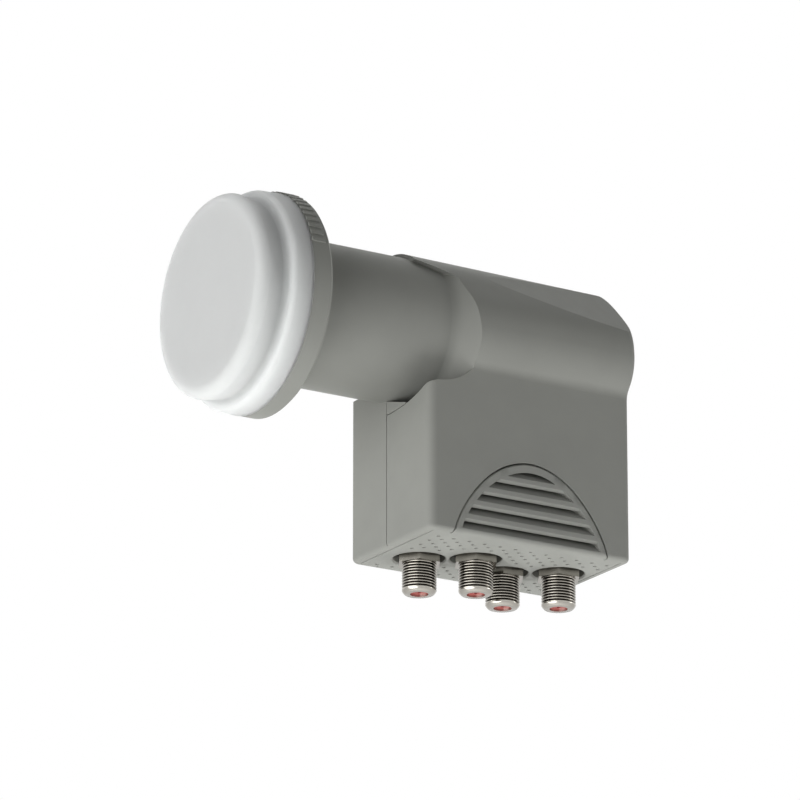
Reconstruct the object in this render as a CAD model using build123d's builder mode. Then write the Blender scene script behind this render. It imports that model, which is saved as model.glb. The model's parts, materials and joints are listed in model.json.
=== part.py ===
import math
import os

from build123d import *

os.makedirs("parts", exist_ok=True)

# Frame: origin on the neck axis in the middle of the clamp length, +X from the cap to the body,
# +Z up, connectors point to -Z, -Y is the near side. All sizes are in mm.

# Neck, collar and cap
NECK_R = 20.0            # 40 mm clamp neck, the usual size
NECK_WALL = 2.8
CLAMP_L = 35.5           # free length of the neck between the collar and the body
COLLAR_L = 6.3
COLLAR_EDGE = 1.0        # chamfer at the back of the collar
COLLAR_IN = 0.1          # collar under the flange
RIB_L, RIB_W, RIB_H = 4.0, 1.2, 0.5
RIB_COUNT, RIB_DEG = 31, 4.7
CAP_L = 15.2             # from the collar to the face of the cap
CAP_R = 28.0             # drum at the face
CAP_TAPER = 0.8          # the drum narrows this much towards the flange
CAP_ROUND = 3.0          # edge of the face
CAP_WALL = 1.6
FLANGE_L = 6.2
FLANGE_STEP = 3.2        # flange over the drum
FLANGE_TAPER = 0.25
RIM_T = 1.8              # wall of the flange round the spigot
SPIGOT_L = 2.4
SEAL_R = 0.7
SEAL_EDGE = 0.4          # land between the seal groove and the rim

# Body
BODY_L = 64.6
BODY_W = 20.7            # half width of the box
BODY_DEPTH = 61.0        # neck axis to the bottom
WALL = 2.2
CORNER_R = 2.5
EDGE_R = 1.3
REAR_R = 2.5             # edge of the barrel at the rear
SPLIT_Y = 1.4            # joint of the two half shells
SEAM = 0.3               # groove along the joint
SEAM_DEPTH = 0.5
FIT = 0.25               # moulded clearance
ROOF_RISE = 1.05         # barrel over the neck at the roof
SHOULDER_RISE = 1.5      # and at its upper corners
SIDE_RISE = 2.4          # and where the bulge begins
ROOF_FALL = 0.65         # the roof drops this much towards the rear
ROOF_DEG, SHOULDER_DEG, SIDE_DEG = 25.0, 46.5, 68.8   # where these are, from the top
BULGE_IN = 9.35          # middle of the side bulge, in from the neck radius
BULGE_Z = -3.4
BULGE_R = 14.1
BULGE_DEG = 51.0         # lower end of the bulge inside
BLEND_R = 4.0            # hollow between the bulge and the side of the box
FACET_SLOPE = 0.051      # the flats on the upper corners run out towards the front
FLARE_L = 9.0            # front wall to the flare of the shells
FLARE_SOFT = 1.5
TAB_REACH = 8.2          # tab of the far shell under the neck
TAB_TIP = 1.3            # its upper edge at the tip, over the lowest point of the opening
TROUGH = 4.0             # depth of the opening under the neck
SLEEVE_SEAT = 16.0       # how far the sleeve reaches into the body
SEAT_T = 1.5

# Vent: arched tongues with slanted slots, standing up from the bottom plate
ARCH_END = 7.9           # from the front or rear wall to the foot of the arch
ARCH_RISE = 22.5
ARCH_POWER = 1.3         # an ellipse has 2, a lower power makes straighter sides
ARCH_RIM = 1.8           # frame round the slots
LOUVRE_T = 4.4
SLOT_PITCH = 4.2
SLOT_H = 2.2
SLOT_FIRST = 1.4
SLOT_COUNT = 5
SLOT_BEVEL = 0.7
VENT_GAP = 0.35          # groove round the arch
VENT_EDGE = 0.4          # chamfer of the arch

# Connectors
PORT_FRONT, PORT_REAR = 13.8, 10.8   # first and last connector from the ends of the body
PORT_OUTER_Y, PORT_INNER_Y = 7.0, -0.5
PORT_COUNT = 4
PORT_R = 4.73            # 3/8 inch F thread over its crests
PORT_OUT = 9.8
PORT_ROUND = 0.6
CORE_R = 4.4
BORE_R = 2.5
PIN_R = 0.5
NUT_WALL = 1.1
NUT_T = 3.0
NUT_OUT = 1.5
RECESS_GAP = 0.75
RECESS_EDGE = 0.4
SHOULDER_T = 0.8         # connector shoulder over its core
STEM_IN = 0.4            # stem in the chassis under the core
INSULATOR_IN, PIN_IN = 0.5, 1.6

# Inside
GUIDE_R = 9.0            # round waveguide
GUIDE_WALL = 3.0
HORN_IN = 2.8            # face of the horn behind the face of the cap
CHOKE_DEPTH = 6.5
CHOKE_WALL = 1.5
CHOKES = 3
HORN_GAP = 1.0
GUIDE_L = 24.0           # waveguide in the chassis
CHASSIS_WALL, CHASSIS_FLOOR = 2.0, 2.5
CHASSIS_FRONT, CHASSIS_REAR = 8.8, 3.0
CHASSIS_NEAR, CHASSIS_FAR = 10.2, 4.0     # from the inner face of each side wall
CHASSIS_UP = 8.0
CHASSIS_DOWN = 6.6       # top of the chassis below the neck
GASKET_T, LID_T, BOARD_T = 0.6, 1.5, 1.6
BOARD_Y = -3.8
RF_DOWN, IF_UP = 7.4, 6.0
TRAY_T = 0.5
CHIP_H = 1.3
PILLAR_X, PILLAR_Z = 4.5, 4.9
PILLAR_W = 5.0
PILLAR_Y = -4.5
PILLAR_FLOOR = 1.0       # below the screw holes
SCREW_R, SCREW_HEAD_R, SCREW_HEAD_T = 1.0, 2.0, 1.4
CHIP_WIDTHS = [7.0, 9.0, 6.0]
SEAT_L, SEAT_CONE = 4.0, 3.0   # ends of the horn in the sleeve and their cones
PROBE_V, PARTING, PROBE_H = 10.0, 14.5, 19.0   # stations behind the sleeve
PROBE_TIP = 3.5
PARTING_R = 0.8
BEAD_R = 1.5
BEAD_OUT = 2.6
BOSS_R, BOSS_PILOT_R, BOSS_HOLE_R = 3.0, 1.2, 1.5
BOSS_HEAD_R, BOSS_HEAD_T, BOSS_SUNK = 2.2, 1.8, 8.0
BOSS_FRONT, BOSS_REAR = 5.4, 10.6
BOSS_TOP, BOSS_LOW = 13.0, 7.0
PILOT_L, SHANK_L = 12.0, 10.0

# Stations and levels that follow from these
COLLAR_X = -CLAMP_L / 2                 # back of the collar
RIM_X = COLLAR_X - COLLAR_L             # where the cap meets the collar
FACE_X = RIM_X - CAP_L
SLEEVE_X0 = RIM_X - SPIGOT_L
FX = CLAMP_L / 2                        # front wall
RX = FX + BODY_L
SLEEVE_X1 = FX + SLEEVE_SEAT
BOTTOM = -BODY_DEPTH
IN_W = BODY_W - WALL
IN_R = NECK_R - NECK_WALL
FLANGE_R = CAP_R - CAP_TAPER + FLANGE_STEP
SPIGOT_R = FLANGE_R - RIM_T
SEAL_X = RIM_X - SEAL_EDGE - SEAL_R
COLLAR_R = FLANGE_R - COLLAR_IN
CAP_IN_R = CAP_R - CAP_TAPER - CAP_WALL
BULGE_Y = NECK_R - BULGE_IN
H = math.sqrt(0.5)
FACET_R = (BULGE_Y + BULGE_Z) * H + BULGE_R    # the flats touch the bulge
ROOF_R = NECK_R + ROOF_RISE - ROOF_FALL        # roof at the rear
ARCH_X = (FX + RX) / 2
ARCH_HALF = BODY_L / 2 - ARCH_END
PORT_STEP = (BODY_L - PORT_FRONT - PORT_REAR) / (PORT_COUNT - 1)
PORTS = [(FX + PORT_FRONT + k * PORT_STEP, PORT_INNER_Y if k % 2 else PORT_OUTER_Y)
         for k in range(PORT_COUNT)]
PORT_END_Z = BOTTOM - PORT_OUT
NUT_Z0 = BOTTOM - NUT_OUT
NUT_Z1 = NUT_Z0 + NUT_T
NUT_FLAT_R = CORE_R + NUT_WALL
RECESS_R = NUT_FLAT_R / math.cos(math.pi / 6) + RECESS_GAP
TUBE_R = GUIDE_R + GUIDE_WALL
CH_X0, CH_X1 = FX + CHASSIS_FRONT, RX - CHASSIS_REAR
CH_Y0, CH_Y1 = CHASSIS_NEAR - IN_W, IN_W - CHASSIS_FAR
CH_Z0, CH_Z1 = BOTTOM + CHASSIS_UP, -NECK_R - CHASSIS_DOWN
LID_Y = CH_Y0 - GASKET_T - LID_T
RF_Z, IF_Z = CH_Z1 - RF_DOWN, CH_Z0 + IF_UP
PILLARS = [(x, z) for x in (CH_X0 + PILLAR_X, CH_X1 - PILLAR_X)
           for z in (CH_Z0 + PILLAR_Z, CH_Z1 - PILLAR_Z)]
SCREW_Y = PILLAR_Y - PILLAR_FLOOR
BOARD_X0, BOARD_X1, BOARD_Y1 = CH_X0 + CHASSIS_WALL, CH_X1 - CHASSIS_WALL, CH_Y1 - CHASSIS_WALL
BOSSES = [(FX + BOSS_FRONT, -NECK_R - BOSS_TOP, IN_W), (FX + BOSS_FRONT, BOTTOM + BOSS_LOW, IN_W),
          (RX - BOSS_REAR, 0.0, BULGE_Y + BULGE_R - 0.8 * WALL)]
FAR_OUT = 3 * BODY_W     # beyond every side of the body
OVER = 1.0               # how far cuts and joins run past a face

# Lower edge of the opening round the neck on each side: station behind the front wall, height over
# the underside of the neck.
EDGE_NEAR = [(1.1, 0.6), (5.2, 1.1), (8.8, 2.2), (12.9, 4.9), (17.0, 11.0)]
EDGE_FAR = [(1.1, 4.8), (5.2, 5.0), (8.8, 5.4), (12.9, 6.8), (17.0, 11.0)]


def save(builder, name):
    builder.part.label = name
    export_step(builder.part, f"parts/{name}.step")


def block(x0, x1, y0, y1, z0, z1, mode=Mode.ADD):
    with Locations(((x0 + x1) / 2, (y0 + y1) / 2, (z0 + z1) / 2)):
        Box(x1 - x0, y1 - y0, z1 - z0, mode=mode)


def rod(axis, r, start, end, a, b, mode=Mode.ADD):
    """Round bar along an axis; a and b are its other two coordinates in X, Y, Z order."""
    mid = (start + end) / 2
    place = {"x": Location((mid, a, b), (0, 90, 0)), "y": Location((a, mid, b), (90, 0, 0)),
             "z": Location((a, b, mid))}[axis]
    with Locations(place):
        Cylinder(r, end - start, mode=mode)


def lathe(points):
    """Turn a closed outline of (x, radius) points about the neck axis."""
    with BuildSketch(Plane.XZ) as outline:
        with BuildLine():
            Polyline(*points, close=True)
        make_face()
    revolve(outline.sketch, axis=Axis.X)


def polar(degrees, radius):
    """Point at an angle from the roof down the side of the barrel."""
    return radius * math.sin(math.radians(degrees)), radius * math.cos(math.radians(degrees))


def mirrored(point):
    return -point[0], point[1]


def barrel(x, fall):
    """Outline of the barrel at a station: roof over the neck, full shoulders and bulging sides."""
    roof = (0, NECK_R + ROOF_RISE - fall)
    upper = polar(ROOF_DEG, NECK_R + ROOF_RISE - fall)
    slope = polar(ROOF_DEG, 1.0)
    shoulder = polar(SHOULDER_DEG, NECK_R + SHOULDER_RISE - fall / 2)
    side = polar(SIDE_DEG, NECK_R + SIDE_RISE)
    widest = (BULGE_Y + BULGE_R, BULGE_Z)
    # the hollow touches the bulge and the side of the box
    across = BODY_W + BLEND_R - BULGE_Y
    down = math.sqrt((BULGE_R + BLEND_R) ** 2 - across ** 2)
    under = math.degrees(math.atan2(down, across))
    low = (BODY_W, BULGE_Z - down)
    with BuildSketch(Plane.YZ.offset(x)) as outline:
        with BuildLine():
            ThreePointArc(upper, roof, mirrored(upper))
            Spline(upper, shoulder, side, widest, tangents=((slope[1], -slope[0]), (0, -1)))
            Spline(mirrored(upper), mirrored(shoulder), mirrored(side), mirrored(widest),
                   tangents=((-slope[1], -slope[0]), (0, -1)))
            CenterArc((BULGE_Y, BULGE_Z), BULGE_R, -under, under)
            CenterArc((-BULGE_Y, BULGE_Z), BULGE_R, 180, under)
            CenterArc((BODY_W + BLEND_R, BULGE_Z - down), BLEND_R, 180 - under, under)
            CenterArc((-BODY_W - BLEND_R, BULGE_Z - down), BLEND_R, 0, under)
            Line(low, mirrored(low))
        make_face()
    return outline.sketch


def inner_barrel(x):
    """Outline of the hollow of the barrel, one wall inside its rear end."""
    roof, flat, r = ROOF_R - WALL, FACET_R - WALL, BULGE_R - WALL
    reach = math.sqrt(roof ** 2 - flat ** 2)
    upper = ((flat - reach) * H, (flat + reach) * H)
    side = (BULGE_Y + r * H, BULGE_Z + r * H)
    turn = math.radians(BULGE_DEG)
    low = (BULGE_Y + r * math.cos(turn), BULGE_Z - r * math.sin(turn))
    widest = (BULGE_Y + r, BULGE_Z)
    with BuildSketch(Plane.YZ.offset(x)) as outline:
        with BuildLine():
            ThreePointArc(upper, (0, roof), mirrored(upper))
            Line(upper, side)
            Line(mirrored(upper), mirrored(side))
            ThreePointArc(side, widest, low)
            ThreePointArc(mirrored(side), mirrored(widest), mirrored(low))
            Line(low, mirrored(low))
        make_face()
    return outline.sketch


def arch(half, rise, y0, y1, foot=0.0, mode=Mode.ADD):
    """Arched slab of the vent between two Y planes, with straight feet below the bottom."""
    heights = [rise * k for k in (0, 0.24, 0.45, 0.65, 0.87)]
    left = [(ARCH_X - half * math.sqrt(1 - (h / rise) ** ARCH_POWER), BOTTOM + h) for h in heights]
    right = [(2 * ARCH_X - x, z) for x, z in reversed(left)]
    with BuildSketch(Plane.XZ.offset(-y1)) as outline:
        with BuildLine():
            Spline(*left, (ARCH_X, BOTTOM + rise), *right)
            if foot:
                Polyline(right[-1], (right[-1][0], BOTTOM - foot), (left[0][0], BOTTOM - foot), left[0])
            else:
                Line(right[-1], left[0])
        make_face()
    extrude(outline.sketch, amount=y1 - y0, mode=mode)


def under_neck(x0, x1, y0, y1, depth):
    """Opening below the neck between two stations: part of a shallow arc that spans the body."""
    half, low = BODY_W + FIT, -NECK_R - depth
    sag = EDGE_NEAR[0][1] - NECK_R - low
    r = (half ** 2 + sag ** 2) / (2 * sag)
    ends = [(y, low + r - math.sqrt(r ** 2 - y ** 2)) for y in (y0, (y0 + y1) / 2, y1)]
    top = -0.6 * NECK_R
    with BuildSketch(Plane.YZ.offset(x0)) as outline:
        with BuildLine():
            ThreePointArc(*ends)
            Polyline(ends[2], (y1, top), (y0, top), ends[0])
        make_face()
    extrude(outline.sketch, amount=x1 - x0)


def side_opening(edge, toward):
    """Region of the opening round the neck, seen from the side, carried out to one side."""
    low = [(FX + x, z - NECK_R) for x, z in edge]
    front = FX - FLARE_L / 3
    with BuildSketch(Plane.XZ) as outline:
        with BuildLine():
            Polyline(low[-1], (low[-1][0], 0.48 * NECK_R), (FX, 0.82 * NECK_R), (front, 0.88 * NECK_R),
                     (front, low[0][1]), low[0])
            Spline(*low)
        make_face()
    extrude(outline.sketch, amount=-toward * FAR_OUT)


with BuildPart() as box:
    block(FX, RX, -BODY_W, BODY_W, BOTTOM, BULGE_Z)
    fillet(box.edges().filter_by(Axis.Z), CORNER_R)
    fillet(box.faces().sort_by(Axis.Z)[0].edges(), EDGE_R)

with BuildPart() as body_outer:
    loft([barrel(FX, 0.0), barrel(RX, ROOF_FALL)], ruled=True)
    rear_edges = body_outer.faces().sort_by(Axis.X)[-1].edges().sort_by(Axis.Z)[1:]
    fillet(rear_edges, REAR_R)
    for side in (-1, 1):
        flat = Plane(origin=(RX, side * FACET_R * H, FACET_R * H), z_dir=(FACET_SLOPE, side * H, H))
        with BuildSketch(flat):
            Rectangle(3 * BODY_L, 3 * BODY_L)
        extrude(amount=NECK_R, mode=Mode.SUBTRACT)
    add(box.part)

with BuildPart() as flare:
    # everything outside the neck and in front of the flare that leads from the neck out to the shells
    start, top = FX + FLARE_L, NECK_R + FLARE_SOFT
    reach = NECK_R
    with BuildSketch(Plane.XZ):
        with BuildLine():
            Polyline((start + FLARE_SOFT, top), (start + FLARE_SOFT + reach, top + reach), (0, top + reach),
                     (0, NECK_R - SEAM), (start - FLARE_SOFT, NECK_R - SEAM), (start - FLARE_SOFT, NECK_R))
            middle = (start + 0.15 * FLARE_SOFT, NECK_R + 0.35 * FLARE_SOFT)
            ThreePointArc((start - FLARE_SOFT, NECK_R), middle, (start + FLARE_SOFT, top))
        make_face()
    revolve(axis=Axis.X)

with BuildPart() as near_opening:
    side_opening(EDGE_NEAR, -1)
    under_neck(FX, FX + 2 * FLARE_L, -IN_W, SPLIT_Y, TROUGH)
    add(flare.part, mode=Mode.INTERSECT)
    under_neck(FX - OVER, FX + WALL, -BODY_W - FIT, SPLIT_Y, TROUGH)

with BuildPart() as far_opening:
    side_opening(EDGE_FAR, 1)
    add(flare.part, mode=Mode.INTERSECT)

with BuildPart() as hollow:
    rear = SLEEVE_X1 + SEAT_T
    extrude(inner_barrel(rear), amount=RX - WALL - rear)
    block(rear, RX - WALL, -IN_W, IN_W, BOTTOM - WALL, BULGE_Z - WALL)
    block(FX + WALL, rear, -IN_W, IN_W, BOTTOM - WALL, CH_Z1 + FIT)
    rod("x", TUBE_R + NECK_WALL, SLEEVE_X1, rear, 0, 0)
    rod("x", NECK_R, 0, SLEEVE_X1, 0, 0)

with BuildPart() as shells:
    add(body_outer.part)
    add(hollow.part, mode=Mode.SUBTRACT)
    for side in (-1, 1):
        y0, y1 = sorted((side * (BODY_W + WALL), side * (IN_W - WALL)))
        arch(ARCH_HALF + VENT_GAP, ARCH_RISE + VENT_GAP, y0, y1, foot=WALL, mode=Mode.SUBTRACT)
    with BuildSketch(Plane.XZ.offset(-SPLIT_Y)):
        with BuildLine():
            d = SEAM_DEPTH
            low = BOTTOM - WALL
            Polyline((FX - WALL, low), (FX - WALL, FAR_OUT), (RX + WALL, FAR_OUT), (RX + WALL, low),
                     (RX - d, low), (RX - d, ROOF_R - d), (FX + d, NECK_R + ROOF_RISE - d), (FX + d, low),
                     close=True)
        make_face()
    extrude(amount=SEAM / 2, both=True, mode=Mode.SUBTRACT)

with BuildPart() as near_shell:
    add(shells.part)
    block(0, RX + WALL, SPLIT_Y, FAR_OUT, -FAR_OUT - BODY_DEPTH, FAR_OUT, mode=Mode.SUBTRACT)
    add(near_opening.part, mode=Mode.SUBTRACT)
    block(ARCH_X - WALL / 2, ARCH_X + WALL / 2, -IN_W, LID_Y, BOTTOM + ARCH_RISE + OVER, CH_Z1 - WALL)
    for x, z, reach in BOSSES:
        rod("y", BOSS_R, -reach, SPLIT_Y, x, z)
        rod("y", BOSS_PILOT_R, SPLIT_Y - PILOT_L, SPLIT_Y, x, z, mode=Mode.SUBTRACT)
    save(near_shell, "near_shell")

with BuildPart() as tab:
    # wedge that closes the joint under the neck and runs out on the near side
    under_neck(FX, FX + WALL, -TAB_REACH, SPLIT_Y, TROUGH - FIT)
    with BuildSketch(Plane.YZ.offset(FX)):
        with BuildLine():
            tip_z = TAB_TIP - NECK_R - TROUGH
            Polyline((SPLIT_Y, -NECK_R), (-TAB_REACH, tip_z), (-TAB_REACH, 0), (SPLIT_Y, 0), close=True)
        make_face()
    extrude(amount=WALL, mode=Mode.SUBTRACT)

with BuildPart() as far_shell:
    add(shells.part)
    block(0, RX + WALL, -FAR_OUT, SPLIT_Y, -FAR_OUT - BODY_DEPTH, FAR_OUT, mode=Mode.SUBTRACT)
    add(far_opening.part, mode=Mode.SUBTRACT)
    block(ARCH_X - WALL / 2, ARCH_X + WALL / 2, CH_Y1, IN_W, BOTTOM + ARCH_RISE + OVER, CH_Z1 - WALL)
    for x, z, reach in BOSSES:
        rod("y", BOSS_R, SPLIT_Y, reach, x, z)
        rod("y", BOSS_HOLE_R, SPLIT_Y, reach, x, z, mode=Mode.SUBTRACT)
        rod("y", BOSS_HEAD_R + FIT, reach - BOSS_SUNK, FAR_OUT, x, z, mode=Mode.SUBTRACT)
    add(tab.part)
    save(far_shell, "far_shell")

with BuildPart() as shell_screws:
    for x, z, reach in BOSSES:
        rod("y", BOSS_PILOT_R, SPLIT_Y - SHANK_L, reach - BOSS_SUNK, x, z)
        rod("y", BOSS_HEAD_R, reach - BOSS_SUNK, reach - BOSS_SUNK + BOSS_HEAD_T, x, z)
    save(shell_screws, "shell_screws")

with BuildPart() as neck_sleeve:
    rod("x", NECK_R, SLEEVE_X0, SLEEVE_X1, 0, 0)
    rod("x", IN_R, SLEEVE_X0, SLEEVE_X1, 0, 0, mode=Mode.SUBTRACT)
    save(neck_sleeve, "neck_sleeve")

with BuildPart() as slots:
    # each slot rises inwards, so that rain stays out, and its upper outer edge is bevelled
    for side in (-1, 1):
        for k in range(SLOT_COUNT):
            low = BOTTOM + SLOT_FIRST + k * SLOT_PITCH
            high = low + SLOT_H
            outer, inner = side * (BODY_W + SLOT_BEVEL), side * (BODY_W - LOUVRE_T - WALL)
            rise = abs(outer - inner)
            with BuildSketch(Plane.YZ.offset(FX)):
                with BuildLine():
                    Polyline((outer, low - SLOT_BEVEL), (outer, high + 2 * SLOT_BEVEL),
                             (side * (BODY_W - SLOT_BEVEL), high), (inner, high + rise - 2 * SLOT_BEVEL),
                             (inner, low + rise - SLOT_BEVEL), close=True)
                make_face()
            extrude(amount=BODY_L)

with BuildPart() as vent_openings:
    for side in (-1, 1):
        y0, y1 = sorted((side * (BODY_W + SLOT_BEVEL), side * (BODY_W - LOUVRE_T - WALL)))
        arch(ARCH_HALF - ARCH_RIM, ARCH_RISE - 1.4 * ARCH_RIM, y0, y1)
    add(slots.part, mode=Mode.INTERSECT)

with BuildPart() as vent_base:
    block(FX + WALL + FIT, RX - WALL - FIT, -IN_W, IN_W, BOTTOM, BOTTOM + WALL)
    for side in (-1, 1):
        y0, y1 = sorted((side * BODY_W, side * (BODY_W - LOUVRE_T)))
        arch(ARCH_HALF, ARCH_RISE, y0, y1)
    chamfer([e for e in vent_base.edges() if abs(abs(e.center().Y) - BODY_W) < 0.01
             and e.center().Z > BOTTOM + WALL], VENT_EDGE)
    add(vent_openings.part, mode=Mode.SUBTRACT)
    lower_edges = [e for e in vent_base.edges().filter_by(Axis.X)
                   if abs(abs(e.center().Y) - BODY_W) < 0.01 and abs(e.center().Z - BOTTOM) < 0.01]
    fillet(lower_edges, EDGE_R)
    for x, y in PORTS:
        rod("z", RECESS_R, BOTTOM - WALL, CH_Z0, x, y, mode=Mode.SUBTRACT)
    chamfer([e for e in vent_base.edges().filter_by(GeomType.CIRCLE) if abs(e.radius - RECESS_R) < 0.01
             and abs(e.center().Z - BOTTOM) < 0.01], RECESS_EDGE)
    save(vent_base, "vent_base")

with BuildPart() as feed_cap:
    with BuildSketch(Plane.XZ):
        with BuildLine():
            x, r, e = FACE_X, CAP_R, CAP_ROUND
            drum, step_x = CAP_R - CAP_TAPER, RIM_X - FLANGE_L
            front_r = FLANGE_R - FLANGE_TAPER
            s = (front_r - drum) / 2
            Polyline((x + CAP_WALL, 0), (x, 0), (x, r - e))
            CenterArc((x + e, r - e), e, 90, 90)
            Line((x + e, r), (step_x - s, drum))
            CenterArc((step_x - s, drum + s), s, -90, 90)
            CenterArc((step_x + s, front_r - s), s, 90, 90)
            Polyline((step_x + s, front_r), (RIM_X, FLANGE_R), (RIM_X, SPIGOT_R), (SLEEVE_X0, SPIGOT_R),
                     (SLEEVE_X0, CAP_IN_R), (x + e, CAP_IN_R), (x + CAP_WALL, r - e), (x + CAP_WALL, 0))
        make_face()
    revolve(axis=Axis.X)
    save(feed_cap, "feed_cap")

with BuildPart() as cap_collar:
    lathe([(SLEEVE_X0, NECK_R), (SLEEVE_X0, SPIGOT_R),
           (SEAL_X - SEAL_R, SPIGOT_R), (SEAL_X - SEAL_R, SPIGOT_R - 2 * SEAL_R),
           (SEAL_X + SEAL_R, SPIGOT_R - 2 * SEAL_R), (SEAL_X + SEAL_R, SPIGOT_R),
           (RIM_X, SPIGOT_R), (RIM_X, COLLAR_R), (COLLAR_X - COLLAR_EDGE, COLLAR_R),
           (COLLAR_X, COLLAR_R - COLLAR_EDGE), (COLLAR_X, NECK_R)])
    for k in range(RIB_COUNT):
        turn = (k - (RIB_COUNT - 1) / 2) * RIB_DEG
        with Locations(Location((RIM_X + SEAM + RIB_L / 2, 0, 0), (turn, 0, 0))):
            with Locations((0, 0, COLLAR_R)):
                Box(RIB_L, RIB_W, 2 * RIB_H)
    save(cap_collar, "cap_collar")

with BuildPart() as cap_seal:
    with BuildSketch(Plane.XZ):
        with Locations((SEAL_X, SPIGOT_R - SEAL_R)):
            Circle(SEAL_R)
    revolve(axis=Axis.X)
    save(cap_seal, "cap_seal")

with BuildPart() as feed_horn:
    # waveguide tube with ring-shaped chokes round its mouth
    mouth, floor = FACE_X + HORN_IN, FACE_X + HORN_IN + CHOKE_DEPTH
    horn_r = CAP_IN_R - HORN_GAP
    pitch = (horn_r - GUIDE_R - CHOKE_WALL) / CHOKES
    outline = []
    for k in range(CHOKES):
        r = GUIDE_R + k * pitch
        outline += [(mouth, r), (mouth, r + CHOKE_WALL), (floor, r + CHOKE_WALL), (floor, r + pitch)]
    cone = SEAT_L + SEAT_CONE
    neck = [(SLEEVE_X0, IN_R), (SLEEVE_X0 + SEAT_L, IN_R), (SLEEVE_X0 + cone, TUBE_R)]
    seat = [(SLEEVE_X1 - cone, TUBE_R), (SLEEVE_X1 - SEAT_L, IN_R), (SLEEVE_X1, IN_R), (SLEEVE_X1, GUIDE_R)]
    lathe(outline + [(mouth, horn_r - CHOKE_WALL), (mouth, horn_r), (SLEEVE_X0, horn_r)] + neck + seat)
    save(feed_horn, "feed_horn")

with BuildPart() as chassis:
    guide_x = SLEEVE_X1 + GUIDE_L
    block(CH_X0, CH_X1, CH_Y0, CH_Y1, CH_Z0, CH_Z1)
    block(CH_X0 + CHASSIS_WALL, CH_X1 - CHASSIS_WALL, CH_Y0, CH_Y1 - CHASSIS_WALL,
          CH_Z0 + CHASSIS_FLOOR, CH_Z1 - CHASSIS_WALL, mode=Mode.SUBTRACT)
    for x, z in PILLARS:
        block(x - PILLAR_W / 2, x + PILLAR_W / 2, CH_Y0, PILLAR_Y, z - PILLAR_W / 2, z + PILLAR_W / 2)
    for z in (RF_Z, IF_Z):
        for x in (CH_X0 + CHASSIS_WALL, CH_X1 - 2 * CHASSIS_WALL):
            block(x, x + CHASSIS_WALL, -BOARD_Y, CH_Y1 - CHASSIS_WALL, z - CHASSIS_WALL, z)
    rod("x", TUBE_R, SLEEVE_X1, guide_x + GUIDE_WALL, 0, 0)
    block(SLEEVE_X1 + SEAT_T + FIT, guide_x, -TUBE_R / 2, GUIDE_R + BEAD_OUT + GUIDE_WALL,
          CH_Z1 - OVER, -BEAD_R)
    rod("x", GUIDE_R, SLEEVE_X1, guide_x, 0, 0, mode=Mode.SUBTRACT)
    for x, y in PORTS:
        rod("z", CORE_R - STEM_IN, CH_Z0, CH_Z0 + CHASSIS_FLOOR, x, y, mode=Mode.SUBTRACT)
    for x, z in PILLARS:
        rod("y", SCREW_R, CH_Y0, SCREW_Y, x, z, mode=Mode.SUBTRACT)
    rod("z", BEAD_R, CH_Z1 - CHASSIS_WALL, 0, SLEEVE_X1 + PROBE_V, 0, mode=Mode.SUBTRACT)
    rod("z", BEAD_R, RF_Z + BOARD_T, BEAD_R, SLEEVE_X1 + PROBE_H, GUIDE_R + BEAD_OUT, mode=Mode.SUBTRACT)
    rod("y", BEAD_R, 0, GUIDE_R + BEAD_OUT, SLEEVE_X1 + PROBE_H, 0, mode=Mode.SUBTRACT)
    save(chassis, "chassis")

with BuildPart() as lid_gasket:
    block(CH_X0, CH_X1, CH_Y0 - GASKET_T, CH_Y0, CH_Z0, CH_Z1)
    block(CH_X0 + CHASSIS_WALL, CH_X1 - CHASSIS_WALL, CH_Y0 - GASKET_T, CH_Y0,
          CH_Z0 + CHASSIS_FLOOR, CH_Z1 - CHASSIS_WALL, mode=Mode.SUBTRACT)
    for x, z in PILLARS:
        block(x - PILLAR_W / 2, x + PILLAR_W / 2, CH_Y0 - GASKET_T, CH_Y0, z - PILLAR_W / 2, z + PILLAR_W / 2)
        rod("y", SCREW_R, CH_Y0 - GASKET_T, CH_Y0, x, z, mode=Mode.SUBTRACT)
    save(lid_gasket, "lid_gasket")

with BuildPart() as chassis_lid:
    block(CH_X0, CH_X1, LID_Y, LID_Y + LID_T, CH_Z0, CH_Z1)
    for x, z in PILLARS:
        rod("y", SCREW_R, LID_Y, LID_Y + LID_T, x, z, mode=Mode.SUBTRACT)
    save(chassis_lid, "chassis_lid")

with BuildPart() as lid_screws:
    for x, z in PILLARS:
        rod("y", SCREW_R, LID_Y, SCREW_Y, x, z)
        rod("y", SCREW_HEAD_R, LID_Y - SCREW_HEAD_T, LID_Y, x, z)
    save(lid_screws, "lid_screws")

with BuildPart() as rf_board:
    block(BOARD_X0, BOARD_X1, BOARD_Y, BOARD_Y1, RF_Z, RF_Z + BOARD_T)
    save(rf_board, "rf_board")

with BuildPart() as if_board:
    block(BOARD_X0, BOARD_X1, BOARD_Y, BOARD_Y1, IF_Z, IF_Z + BOARD_T)
    save(if_board, "if_board")

with BuildPart() as shield_tray:
    x0, x1, y0, y1 = BOARD_X0 + PILLAR_W, BOARD_X1 - PILLAR_W, BOARD_Y + 2 * TRAY_T, BOARD_Y1 - CHASSIS_WALL
    low = RF_Z - (RF_Z - IF_Z - BOARD_T) / 2
    block(x0, x1, y0, y1, low, RF_Z)
    block(x0 + TRAY_T, x1 - TRAY_T, y0 + TRAY_T, y1 - TRAY_T, low + TRAY_T, RF_Z, mode=Mode.SUBTRACT)
    save(shield_tray, "shield_tray")

with BuildPart() as board_chips:
    for k, w in enumerate(CHIP_WIDTHS, 1):
        x = BOARD_X0 + k * (BOARD_X1 - BOARD_X0) / (len(CHIP_WIDTHS) + 1)
        y = (BOARD_Y + BOARD_Y1) / 2
        block(x - w / 2, x + w / 2, y - w / 2, y + w / 2, IF_Z + BOARD_T, IF_Z + BOARD_T + CHIP_H)
    save(board_chips, "board_chips")

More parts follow.
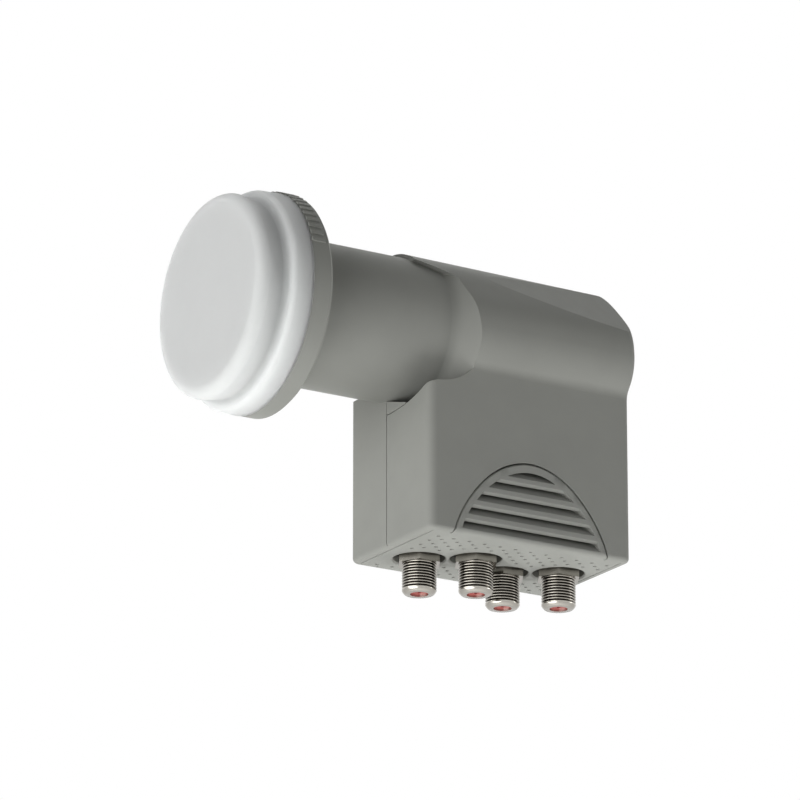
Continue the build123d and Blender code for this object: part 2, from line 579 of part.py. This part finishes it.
with BuildPart() as probe_v:
    rod("z", PIN_R, RF_Z + BOARD_T, -PROBE_TIP, SLEEVE_X1 + PROBE_V, 0)
    save(probe_v, "probe_v")

with BuildPart() as probe_h:
    x, y = SLEEVE_X1 + PROBE_H, GUIDE_R + BEAD_OUT
    rod("z", PIN_R, RF_Z + BOARD_T, 0, x, y)
    rod("y", PIN_R, PROBE_TIP, y, x, 0)
    with Locations((x, y, 0)):
        Sphere(PIN_R)
    save(probe_h, "probe_h")

with BuildPart() as probe_beads:
    for x, y, top in ((PROBE_V, 0, -GUIDE_R - PIN_R), (PROBE_H, GUIDE_R + BEAD_OUT, -BEAD_OUT)):
        rod("z", BEAD_R, CH_Z1 - CHASSIS_WALL, top, SLEEVE_X1 + x, y)
        rod("z", PIN_R, CH_Z1 - CHASSIS_WALL, top, SLEEVE_X1 + x, y, mode=Mode.SUBTRACT)
    save(probe_beads, "probe_beads")

with BuildPart() as parting_pin:
    rod("y", PARTING_R, -GUIDE_R, GUIDE_R, SLEEVE_X1 + PARTING, 0)
    rod("x", GUIDE_R, SLEEVE_X1, SLEEVE_X1 + GUIDE_L, 0, 0, mode=Mode.INTERSECT)
    save(parting_pin, "parting_pin")

for k, (x, y) in enumerate(PORTS, 1):
    inner_z = CH_Z0 + CHASSIS_FLOOR
    with BuildPart() as f_connector:
        rod("z", PORT_R, PORT_END_Z, NUT_Z0, x, y)
        fillet(f_connector.edges().sort_by(Axis.Z)[0], PORT_ROUND)
        rod("z", CORE_R, NUT_Z0, NUT_Z1, x, y)
        rod("z", CORE_R + SHOULDER_T, NUT_Z1, CH_Z0, x, y)
        rod("z", CORE_R - STEM_IN, CH_Z0, inner_z, x, y)
        rod("z", BORE_R, PORT_END_Z, inner_z, x, y, mode=Mode.SUBTRACT)
        save(f_connector, f"f_connector_{k}")
    with BuildPart() as insulator:
        rod("z", BORE_R, PORT_END_Z + INSULATOR_IN, inner_z, x, y)
        rod("z", PIN_R, PORT_END_Z, inner_z, x, y, mode=Mode.SUBTRACT)
        save(insulator, f"insulator_{k}")
    with BuildPart() as contact:
        rod("z", PIN_R, PORT_END_Z + PIN_IN, IF_Z, x, y)
        save(contact, f"contact_{k}")

with BuildPart() as hex_nuts:
    for x, y in PORTS:
        with BuildSketch(Plane.XY.offset(NUT_Z0)):
            with Locations((x, y)):
                RegularPolygon(NUT_FLAT_R, 6, major_radius=False)
                Circle(CORE_R, mode=Mode.SUBTRACT)
        extrude(amount=NUT_T)
    save(hex_nuts, "hex_nuts")
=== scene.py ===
import json
import math

import bmesh
import bpy
from mathutils import Matrix, Vector


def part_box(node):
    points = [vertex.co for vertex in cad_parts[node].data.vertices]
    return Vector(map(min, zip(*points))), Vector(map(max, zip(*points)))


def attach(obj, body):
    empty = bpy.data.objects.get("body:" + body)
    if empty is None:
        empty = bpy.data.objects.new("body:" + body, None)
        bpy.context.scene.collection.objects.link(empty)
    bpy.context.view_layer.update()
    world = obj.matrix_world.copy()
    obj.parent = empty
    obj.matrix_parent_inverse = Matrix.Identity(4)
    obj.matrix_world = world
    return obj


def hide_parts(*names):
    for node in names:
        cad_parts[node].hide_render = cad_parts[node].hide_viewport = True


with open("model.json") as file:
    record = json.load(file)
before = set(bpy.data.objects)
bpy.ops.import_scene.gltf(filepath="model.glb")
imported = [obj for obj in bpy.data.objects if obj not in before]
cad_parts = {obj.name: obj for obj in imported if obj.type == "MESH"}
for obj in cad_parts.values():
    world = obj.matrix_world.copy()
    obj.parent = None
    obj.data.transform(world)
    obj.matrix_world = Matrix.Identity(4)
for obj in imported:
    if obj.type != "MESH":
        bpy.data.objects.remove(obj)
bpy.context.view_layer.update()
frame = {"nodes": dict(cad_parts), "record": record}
NODES = frame["nodes"]

MM = 0.001
PORT_COUNT = 4
THREAD_PITCH = 0.79 * MM
THREAD_DEPTH = 0.5 * MM
THREAD_ROWS = 10           # rows of faces to each turn of the thread
TURN_STEPS = 72            # faces round a turned piece
ROOT_ATTRIBUTE = "root"    # how deep in the thread a point lies, 0 at the crest and 1 at the root; the thread material paints shade into the roots by it
CREST_R = 4.73 * MM
BORE_R = 2.5 * MM
CORE_R = 4.4 * MM
SHOULDER_R = 5.2 * MM
SPIGOT_R = 4.0 * MM
END_BAND = 0.9 * MM        # plain end of the barrel, rounded by these steps up and inwards
END_ROUND = ((0.0, 0.75 * MM), (0.12 * MM, 0.6 * MM), (0.5 * MM, 0.22 * MM))

DIMPLE_X = 29.1 * MM       # one dimple of the first row, and how far the rows reach across
DIMPLE_Y = -14.6 * MM
DIMPLE_ROWS = 15
DIMPLE_STEP_X = 2.45 * MM  # each row is shifted by this, half the distance between its own dimples
DIMPLE_STEP_Y = 2.25 * MM
DIMPLE_R = 0.58 * MM
DIMPLE_DEPTH = 0.5 * MM
DIMPLE_SIDES = 14
DIMPLE_MARGIN = 1.7 * MM
TOP_SLOT_Z = 18.1 * MM     # lower edge over the bottom, height and half length at the outside
TOP_SLOT_H = 1.95 * MM
TOP_SLOT_HALF = 7.7 * MM
TOP_SLOT_STEPS = 25
TOP_SLOT_OUT = 0.6 * MM
TOP_SLOT_IN = 5.0 * MM
FLAT_AREA = 3 * MM ** 2    # a face larger than this is flat and keeps its own normal
PORT_CLEAR = 9.3 * MM      # they stop this far from the middle of a connector

SCREW_APART = 10 * MM      # points closer than this belong to one screw
CROSS_L = 4.2 * MM         # cross recess in the screw heads, measured above the head, narrower below
CROSS_W = 1.2 * MM
CROSS_DEPTH = 1.2 * MM
CROSS_TAPER = 0.45

# Camera of the photograph: it stands below the part and looks up along the neck from the cap side.
VIEW_AZIMUTH = math.radians(-31.60)
VIEW_ELEVATION = math.radians(-17.86)
LENS_MM = 270.0
SENSOR_MM = 36.0
CAMERA_AT = Vector((-0.7895, -1.31767, -0.51781))
FLOOR_Z = -1.2
LAMP_AIM = Vector((0.02, 0, -0.03))


def srgb(red, green, blue):
    """Linear colour from 8-bit screen values."""
    def linear(v):
        v /= 255
        return v / 12.92 if v <= 0.04045 else ((v + 0.055) / 1.055) ** 2.4
    return (linear(red), linear(green), linear(blue), 1.0)


class Nodes:
    """A material's node tree with a principled shader, and short ways to add to it."""

    def __init__(self, name):
        self.material = bpy.data.materials.new(name)
        self.material.use_nodes = True
        self.tree = self.material.node_tree
        self.shader = self.tree.nodes["Principled BSDF"]
        self.place = self.add("ShaderNodeTexCoord").outputs["Object"]

    def add(self, kind, **inputs):
        node = self.tree.nodes.new(kind)
        for key, value in inputs.items():
            self.put(node.inputs[key.replace("_", " ")], value)
        return node

    def put(self, socket, value):
        if isinstance(value, bpy.types.NodeSocket):
            self.tree.links.new(value, socket)
        else:
            socket.default_value = value

    def noise(self, scale, detail=3.0, roughness=0.55):
        return self.add("ShaderNodeTexNoise", Vector=self.place, Scale=scale, Detail=detail,
                        Roughness=roughness).outputs["Fac"]

    def between(self, fac, low, high):
        """A number that runs from low to high with the middle range of a noise."""
        node = self.add("ShaderNodeMapRange", Value=fac, From_Min=0.3, From_Max=0.7, To_Min=low, To_Max=high)
        return node.outputs["Result"]

    def tint(self, fac, first, second):
        ramp = self.add("ShaderNodeValToRGB", Fac=fac)
        ramp.color_ramp.elements[0].position = 0.3
        ramp.color_ramp.elements[1].position = 0.7
        ramp.color_ramp.elements[0].color = first
        ramp.color_ramp.elements[1].color = second
        return ramp.outputs["Color"]

    def bump(self, height, strength, distance):
        node = self.add("ShaderNodeBump", Height=height, Strength=strength, Distance=distance)
        self.put(self.shader.inputs["Normal"], node.outputs["Normal"])

    def set(self, **inputs):
        for key, value in inputs.items():
            self.put(self.shader.inputs[key.replace("_", " ")], value)
        return self


def shade(colour, factor):
    return (colour[0] * factor, colour[1] * factor, colour[2] * factor, 1.0)


def moulded(name, colour, rough, grain=0.10, mottle=0.03, gloss=0.5, depth=0.0):
    """Moulded plastic: faint mottling, a fine spark-eroded grain and slightly uneven gloss."""
    n = Nodes(name)
    cloud = n.noise(70.0)
    n.set(Base_Color=n.tint(cloud, shade(colour, 1 - mottle), shade(colour, 1 + mottle)),
          Roughness=n.between(n.noise(260.0), rough - 0.04, rough + 0.04), IOR=1.46, Specular_IOR_Level=gloss)
    if depth:
        n.set(Subsurface_Weight=1.0, Subsurface_Radius=(1.0, 1.0, 1.0), Subsurface_Scale=depth)
    n.bump(n.noise(3800.0, detail=2.0), grain, 0.00006)
    return n.material


def metal(name, colour, rough, streak=900.0):
    """Plated or cast metal with uneven polish."""
    n = Nodes(name)
    cloud = n.noise(420.0)
    n.set(Base_Color=n.tint(cloud, shade(colour, 0.95), shade(colour, 1.03)), Metallic=1.0,
          Roughness=n.between(n.noise(streak), rough * 0.85, rough * 1.2))
    n.bump(n.noise(2600.0), 0.02, 0.00001)
    return n.material


def threaded(name, colour, painted_root_shade):
    """Plated thread with painted shade: bright crests, and roots painted darker as shade by the depth stored
    with the mesh.
    """
    n = Nodes(name)
    depth = n.add("ShaderNodeAttribute")
    depth.attribute_name = ROOT_ATTRIBUTE
    # colour runs from the crest colour to painted shade at the thread roots
    ramp = n.add("ShaderNodeValToRGB", Fac=depth.outputs["Fac"])
    ramp.color_ramp.elements[0].position = 0.15
    ramp.color_ramp.elements[1].position = 0.75
    ramp.color_ramp.elements[0].color = colour
    ramp.color_ramp.elements[1].color = painted_root_shade
    n.set(Base_Color=ramp.outputs["Color"], Metallic=1.0, Roughness=n.between(n.noise(300.0), 0.14, 0.22))
    n.bump(n.noise(2600.0), 0.02, 0.00001)
    return n.material


def board(name):
    """Circuit board: solder mask with paler tracks showing through."""
    n = Nodes(name)
    tracks = n.add("ShaderNodeTexBrick", Vector=n.place, Scale=330.0, Mortar_Size=0.06,
                   Color1=srgb(16, 74, 44), Color2=srgb(20, 84, 50), Mortar=srgb(58, 122, 70))
    n.set(Base_Color=tracks.outputs["Color"], Roughness=n.between(n.noise(500.0), 0.3, 0.42))
    return n.material


MATERIALS = {
    "cap_white": moulded("cap_white", srgb(218, 221, 220), 0.55, grain=0.05, mottle=0.012, gloss=0.2,
                         depth=9 * MM),
    "housing_grey": moulded("housing_grey", srgb(148, 149, 144), 0.52, gloss=0.12),
    "collar_grey": moulded("collar_grey", srgb(144, 145, 140), 0.52, gloss=0.12),
    "vent_grey": moulded("vent_grey", srgb(150, 151, 146), 0.52, gloss=0.12),
    "nickel": metal("nickel", srgb(178, 174, 167), 0.18, streak=300.0),
    # the second colour of nickel_thread is painted shade that darkens the thread roots
    "nickel_thread": threaded("nickel_thread", srgb(186, 182, 174), srgb(52, 48, 43)),
    "screw_steel": metal("screw_steel", srgb(190, 190, 188), 0.3),
    "seal_rubber": moulded("seal_rubber", srgb(30, 30, 30), 0.7),
    "cast_metal": metal("cast_metal", srgb(184, 184, 182), 0.45),
    "board_green": board("board_green"),
    "shield_steel": metal("shield_steel", srgb(200, 200, 196), 0.28),
    "chip_black": moulded("chip_black", srgb(26, 26, 27), 0.5),
    "contact_brass": metal("contact_brass", srgb(214, 176, 96), 0.25),
    "bead_white": moulded("bead_white", srgb(228, 228, 222), 0.4),
    "insulator_red": moulded("insulator_red", srgb(150, 56, 50), 0.34, grain=0.03),
}


def dress(obj, slot):
    obj.data.materials.clear()
    obj.data.materials.append(MATERIALS[slot])


for part in frame["record"]["subparts"]:
    dress(NODES[part["node"]], part["material_slot"])


def finish_piece(name, mesh, slot, node, look=None):
    """Puts a new mesh in the place of a CAD node."""
    piece = bpy.data.objects.new(name, mesh)
    bpy.context.scene.collection.objects.link(piece)
    dress(piece, look or slot)
    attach(piece, "root")
    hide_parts(node)
    return piece


def port_axis(k):
    low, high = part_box(f"f_connector_{k}")
    return (low + high) / 2


def thread_profile(end_z, nut_z):
    """Rows (z, radius, depth of the thread there) from the rounded open end up to the nut."""
    rows = [(end_z + up, CREST_R - inward, 0.0) for up, inward in END_ROUND]
    start_z = end_z + END_BAND
    count = round((nut_z - start_z) / THREAD_PITCH * THREAD_ROWS)
    for i in range(count + 1):
        z = start_z + (nut_z - start_z) * i / count
        rows.append((z, CREST_R, min(1.0, i / THREAD_ROWS) * THREAD_DEPTH))
    return rows


def ridge(turn):
    """Depth below the crest, 0 to 1, of a 60 degree thread with rounded crests and roots."""
    wave = abs((turn % 1.0) * 2 - 1)
    return 0.5 - 0.5 * math.cos(math.pi * min(1.0, max(0.0, wave * 1.25 - 0.125)))


def connector_mesh(k):
    """F connector: threaded barrel, open end with its bore, and the stepped body inside the housing."""
    low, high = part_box(f"f_connector_{k}")
    axis = port_axis(k)
    nut_low, nut_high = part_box("hex_nuts")
    chassis_low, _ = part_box("chassis")
    rows = [(high.z, BORE_R, 0.0), (low.z, BORE_R, 0.0)]
    rows += thread_profile(low.z, nut_low.z)
    rows += [(nut_low.z, CORE_R, 0.0), (nut_high.z, CORE_R, 0.0), (nut_high.z, SHOULDER_R, 0.0),
             (chassis_low.z, SHOULDER_R, 0.0), (chassis_low.z, SPIGOT_R, 0.0), (high.z, SPIGOT_R, 0.0)]
    bm = bmesh.new()
    rings = []
    roots = []
    for z, radius, depth in rows:
        ring = []
        for i in range(TURN_STEPS):
            angle = 2 * math.pi * i / TURN_STEPS
            inward = depth * ridge(z / THREAD_PITCH + i / TURN_STEPS)
            r = radius - inward
            ring.append(bm.verts.new((axis.x + r * math.cos(angle), axis.y + r * math.sin(angle), z)))
            roots.append(inward / THREAD_DEPTH)
        rings.append(ring)
    for a, b in zip(rings, rings[1:] + rings[:1]):
        for i in range(TURN_STEPS):
            j = (i + 1) % TURN_STEPS
            bm.faces.new((a[i], a[j], b[j], b[i]))
    bmesh.ops.recalc_face_normals(bm, faces=bm.faces)
    mesh = bpy.data.meshes.new(f"connector_{k}")
    bm.to_mesh(mesh)
    bm.free()
    # thread depth kept for the painted shade in the thread roots
    mesh.attributes.new(ROOT_ATTRIBUTE, "FLOAT", "POINT").data.foreach_set("value", roots)
    mesh.shade_smooth()
    mesh.set_sharp_from_angle(angle=math.radians(50))
    return mesh


for k in range(1, PORT_COUNT + 1):
    finish_piece(f"connector_{k}", connector_mesh(k), "nickel", f"f_connector_{k}", look="nickel_thread")


def dimple_places():
    """Middles of the dimples: staggered rows over the bottom plate, clear of its ends and the connectors."""
    low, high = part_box("vent_base")
    ports = [port_axis(k) for k in range(1, PORT_COUNT + 1)]
    reach = int((high.x - low.x) / DIMPLE_STEP_X)
    for j in range(DIMPLE_ROWS):
        for i in range(-reach, reach + 1):
            x, y = DIMPLE_X + i * DIMPLE_STEP_X, DIMPLE_Y + j * DIMPLE_STEP_Y
            inside = low.x + DIMPLE_MARGIN < x < high.x - DIMPLE_MARGIN
            clear = all(math.hypot(x - p.x, y - p.y) > PORT_CLEAR for p in ports)
            if (i + j) % 2 == 0 and inside and clear:
                yield x, y, low.z


def top_slot(bm, side):
    """Lens-shaped top slot of the vent: it rises inwards like the slots below it, through the tongue."""
    low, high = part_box("vent_base")
    middle = (low.x + high.x) / 2
    face_y = high.y if side > 0 else low.y
    step = 2 * TOP_SLOT_HALF / TOP_SLOT_STEPS
    lens = []
    for i in range(TOP_SLOT_STEPS + 1):
        x = -TOP_SLOT_HALF + i * step
        lens.append((middle + x, low.z + TOP_SLOT_Z + TOP_SLOT_H * (1 - (x / TOP_SLOT_HALF) ** 2)))
    rings = []
    for depth in (-TOP_SLOT_OUT, TOP_SLOT_IN):
        rings.append([bm.verts.new((x, face_y - side * depth, z + depth)) for x, z in lens])
    outer, inner = rings
    for i in range(TOP_SLOT_STEPS):
        bm.faces.new((outer[i], outer[i + 1], inner[i + 1], inner[i]))
    bm.faces.new((outer[0], outer[-1], inner[-1], inner[0]))
    bm.faces.new(outer)
    bm.faces.new(inner)


def plate_cutter():
    """Everything to be cut out of the plate: the top slots, and the dimples as tapered plugs."""
    bm = bmesh.new()
    for side in (-1, 1):
        top_slot(bm, side)
    bmesh.ops.recalc_face_normals(bm, faces=bm.faces)
    for x, y, z in dimple_places():
        place = Matrix.Translation((x, y, z))
        bmesh.ops.create_cone(bm, cap_ends=True, segments=DIMPLE_SIDES, radius1=1.15 * DIMPLE_R,
                              radius2=0.75 * DIMPLE_R, depth=2 * DIMPLE_DEPTH, matrix=place)
    mesh = bpy.data.meshes.new("plate_cutter")
    bm.to_mesh(mesh)
    bm.free()
    return mesh


def welded(mesh):
    """A copy of a CAD mesh with the points along its sharp edges joined again."""
    bm = bmesh.new()
    bm.from_mesh(mesh)
    bmesh.ops.remove_doubles(bm, verts=bm.verts, dist=0.001 * MM)
    copy = bpy.data.meshes.new(mesh.name + "_welded")
    bm.to_mesh(copy)
    bm.free()
    return copy


def modified(mesh, kind, **settings):
    """The mesh after one modifier."""
    obj = bpy.data.objects.new("modified", mesh)
    bpy.context.scene.collection.objects.link(obj)
    modifier = obj.modifiers.new(kind, kind)
    for key, value in settings.items():
        setattr(modifier, key, value)
    result = bpy.data.meshes.new_from_object(obj.evaluated_get(bpy.context.evaluated_depsgraph_get()))
    bpy.data.objects.remove(obj)
    return result


def cut_piece(node, tool):
    """The mesh of a CAD node with a tool mesh cut out of it; large flat faces stay flat."""
    cutter = bpy.data.objects.new("cutter", tool)
    bpy.context.scene.collection.objects.link(cutter)
    mesh = modified(welded(NODES[node].data), "BOOLEAN", operation="DIFFERENCE", solver="EXACT",
                    object=cutter)
    bpy.data.objects.remove(cutter)
    mesh.shade_smooth()
    mesh.set_sharp_from_angle(angle=math.radians(25))
    normals = [corner.vector.copy() for corner in mesh.corner_normals]
    for face in mesh.polygons:
        for i in face.loop_indices:
            if face.area > FLAT_AREA or normals[i].dot(face.normal) < 0.9:
                normals[i] = face.normal.copy()
    mesh.normals_split_custom_set(normals)
    return mesh


finish_piece("bottom_plate", cut_piece("vent_base", plate_cutter()), "vent_grey", "vent_base")


def screw_middles():
    """Middles of the heads of the screws that join the half shells, which are driven from the far side."""
    screws = []
    for vertex in NODES["shell_screws"].data.vertices:
        spot = Vector((vertex.co.x, 0, vertex.co.z))
        same = [points for first, points in screws if (first - spot).length < SCREW_APART]
        if same:
            same[0].append(vertex.co)
        else:
            screws.append((spot, [vertex.co]))
    for _, points in screws:
        x, z = [(min(p[i] for p in points) + max(p[i] for p in points)) / 2 for i in (0, 2)]
        yield x, max(p.y for p in points), z


def cross_cutter():
    """The cross recesses in the screw heads."""
    arm, half = CROSS_L / 2, CROSS_W / 2
    corner = [(arm, -half), (arm, half), (half, half)]
    bm = bmesh.new()
    for x, y, z in screw_middles():
        rings = []
        for depth, width in ((-CROSS_DEPTH, 1.0), (CROSS_DEPTH, CROSS_TAPER)):
            ring = []
            for turn in range(4):
                c, s = math.cos(turn * math.pi / 2) * width, math.sin(turn * math.pi / 2) * width
                for u, v in corner:
                    ring.append(bm.verts.new((x + u * c - v * s, y - depth, z + u * s + v * c)))
            rings.append(ring)
        outer, inner = rings
        for i in range(len(outer)):
            j = (i + 1) % len(outer)
            bm.faces.new((outer[i], outer[j], inner[j], inner[i]))
        bm.faces.new(outer)
        bm.faces.new(inner)
    bmesh.ops.recalc_face_normals(bm, faces=bm.faces)
    mesh = bpy.data.meshes.new("cross_cutter")
    bm.to_mesh(mesh)
    bm.free()
    return mesh


finish_piece("cross_screws", cut_piece("shell_screws", cross_cutter()), "screw_steel", "shell_screws")


def area_lamp(name, at, size, watts, shine=False):
    """Round lamp that faces the part; without shine it doesn't show in reflections."""
    data = bpy.data.lights.new(name, "AREA")
    data.shape = "DISK"
    data.size = size
    data.energy = watts
    lamp = bpy.data.objects.new(name, data)
    lamp.location = at
    lamp.rotation_euler = (LAMP_AIM - Vector(at)).to_track_quat("-Z", "Y").to_euler()
    lamp.visible_camera = False
    lamp.visible_glossy = shine
    bpy.context.scene.collection.objects.link(lamp)


def seen(tree, low, high):
    """A strength that is high for what the camera, a reflection or a clear piece sees, and low for light."""
    path = tree.nodes.new("ShaderNodeLightPath")
    value = path.outputs["Is Camera Ray"]
    for ray in ("Is Glossy Ray", "Is Transmission Ray"):
        either = tree.nodes.new("ShaderNodeMath")
        either.operation = "MAXIMUM"
        tree.links.new(value, either.inputs[0])
        tree.links.new(path.outputs[ray], either.inputs[1])
        value = either.outputs[0]
    level = tree.nodes.new("ShaderNodeMapRange")
    level.inputs["To Min"].default_value = low
    level.inputs["To Max"].default_value = high
    tree.links.new(value, level.inputs["Value"])
    return level.outputs["Result"]


def studio():
    """Pale floor far below, white backdrop, a broad soft lamp low in front and weaker ones around."""
    mesh = bpy.data.meshes.new("floor")
    reach = 12.0
    mesh.from_pydata([(-reach, -reach, FLOOR_Z), (reach, -reach, FLOOR_Z), (reach, reach, FLOOR_Z),
                      (-reach, reach, FLOOR_Z)], [], [(0, 1, 2, 3)])
    floor = bpy.data.objects.new("floor", mesh)
    bpy.context.scene.collection.objects.link(floor)
    n = Nodes("floor_pale")
    n.set(Base_Color=n.tint(n.noise(3.0), srgb(236, 236, 234), srgb(240, 240, 238)), Roughness=0.8,
          Emission_Color=(1, 1, 1, 1), Emission_Strength=seen(n.tree, 0.0, 0.6))
    mesh.materials.append(n.material)

    world = bpy.data.worlds.new("studio")
    world.use_nodes = True
    bpy.context.scene.world = world
    tree = world.node_tree
    background = tree.nodes["Background"]
    background.inputs["Color"].default_value = (1, 1, 1, 1)
    tree.links.new(seen(tree, 0.12, 1.0), background.inputs["Strength"])

    area_lamp("low_front", (-0.94, -0.18, -0.33), 1.5, 14.0, shine=True)
    area_lamp("below", (0.47, -0.1, -0.90), 1.2, 8.6)
    area_lamp("side_fill", (0.85, -0.5, 0.0), 0.4, 1.6, shine=True)
    area_lamp("back_fill", (0.5, 1.0, 0.0), 0.9, 7.0)
    area_lamp("top_fill", (0.2, 0.5, 1.0), 0.9, 6.0)


def camera():
    data = bpy.data.cameras.new("camera")
    data.sensor_width = SENSOR_MM
    data.lens = LENS_MM
    data.clip_start, data.clip_end = 0.05, 50.0
    obj = bpy.data.objects.new("camera", data)
    obj.location = CAMERA_AT
    obj.rotation_euler = (math.pi / 2 - VIEW_ELEVATION, 0.0, VIEW_AZIMUTH)
    bpy.context.scene.collection.objects.link(obj)
    bpy.context.scene.camera = obj


studio()
camera()
bpy.context.scene.view_settings.view_transform = "Standard"
